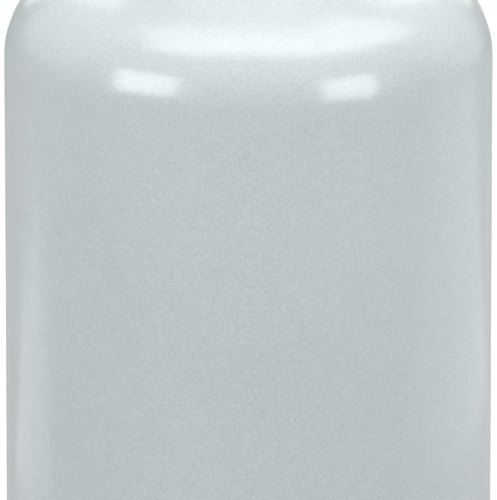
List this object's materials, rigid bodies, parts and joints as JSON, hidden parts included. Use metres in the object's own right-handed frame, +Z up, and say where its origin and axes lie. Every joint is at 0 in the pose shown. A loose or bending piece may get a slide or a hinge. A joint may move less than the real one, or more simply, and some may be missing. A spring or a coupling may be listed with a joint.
{
  "type": "reagent bottle",
  "caption": "Round narrow-neck plastic reagent bottle with rounded shoulder, pouring ring, ribbed screw cap and tamper band.",
  "frame": {"origin": "centre of the foot, on the surface the bottle stands on", "axes": "+Z up along the bottle's axis, through the neck; +X and +Y across the round body"},
  "size_m": [0.092, 0.092, 0.2097],
  "materials": {
    "bottle_polyethylene": "milky white polyethylene, semi-gloss",
    "closure_polypropylene": "natural white moulded polypropylene, satin",
    "liner_foam": "fine closed-cell foam",
    "liner_facing": "smooth white film"
  },
  "bodies": {
    "bottle": {"bottle": "bottle_polyethylene", "pouring_ring": "closure_polypropylene"},
    "liner": {"liner_foam": "liner_foam", "liner_facing": "liner_facing"},
    "cap": {"screw_cap": "closure_polypropylene"},
    "tamper_band": {"tamper_band": "closure_polypropylene"}
  },
  "joints": [
    {"name": "cap_lift", "type": "slide", "parent": "bottle", "child": "liner", "axis": [0, 0, 1], "range_m": [0, 0.02401]},
    {"name": "cap_turn", "type": "hinge", "parent": "liner", "child": "cap", "pos_m": [0, 0, 0.2], "axis": [0, 0, 1], "range_deg": [0, 2160]},
    {"name": "band_turn", "type": "hinge", "parent": "bottle", "child": "tamper_band", "pos_m": [0, 0, 0.184], "axis": [0, 0, 1], "continuous": true}
  ],
  "couplings": [
    {"joint": "cap_lift", "follows": "cap_turn", "m_per_rad": 0.00063662}
  ]
}
